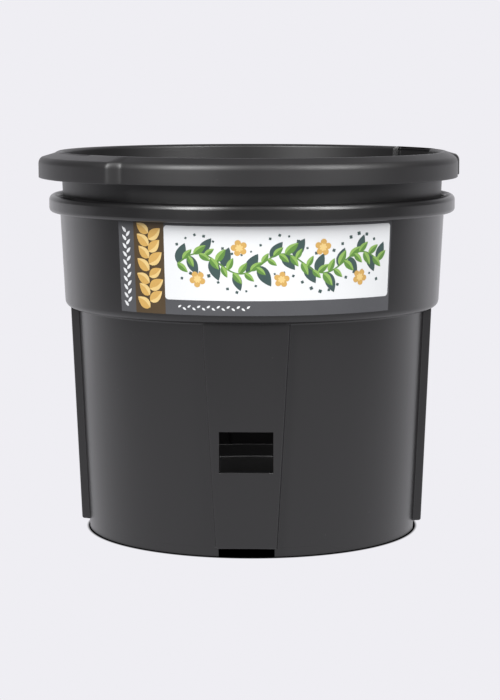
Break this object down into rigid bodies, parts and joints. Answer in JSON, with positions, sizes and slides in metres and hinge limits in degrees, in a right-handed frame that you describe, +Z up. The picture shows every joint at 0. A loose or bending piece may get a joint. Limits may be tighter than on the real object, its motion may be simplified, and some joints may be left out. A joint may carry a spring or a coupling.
{
  "type": "potato growing pot",
  "caption": "Round plastic potato growing pot: an inner pot with large side windows and lifting handles stands in an outer pot with a harvest window and a printed label.",
  "frame": {"origin": "on the pots' axis at the ground, at the middle of the outer pot's foot", "axes": "+Z up along the pots' axis, -Y to the front with the harvest window and the label, +X to the right seen from the front"},
  "size_m": [0.3898, 0.378, 0.3508],
  "materials": {
    "outer_plastic": "satin moulded polypropylene, anthracite",
    "inner_plastic": "satin moulded polypropylene, black",
    "printed_film": "smooth printed film"
  },
  "bodies": {
    "outer": {"outer_pot": "outer_plastic", "label": "printed_film"},
    "inner": {"inner_pot": "inner_plastic"}
  },
  "joints": [
    {"name": "inner_lift", "type": "slide", "parent": "outer", "child": "inner", "axis": [0, 0, 1], "range_m": [0, 0.32]}
  ]
}
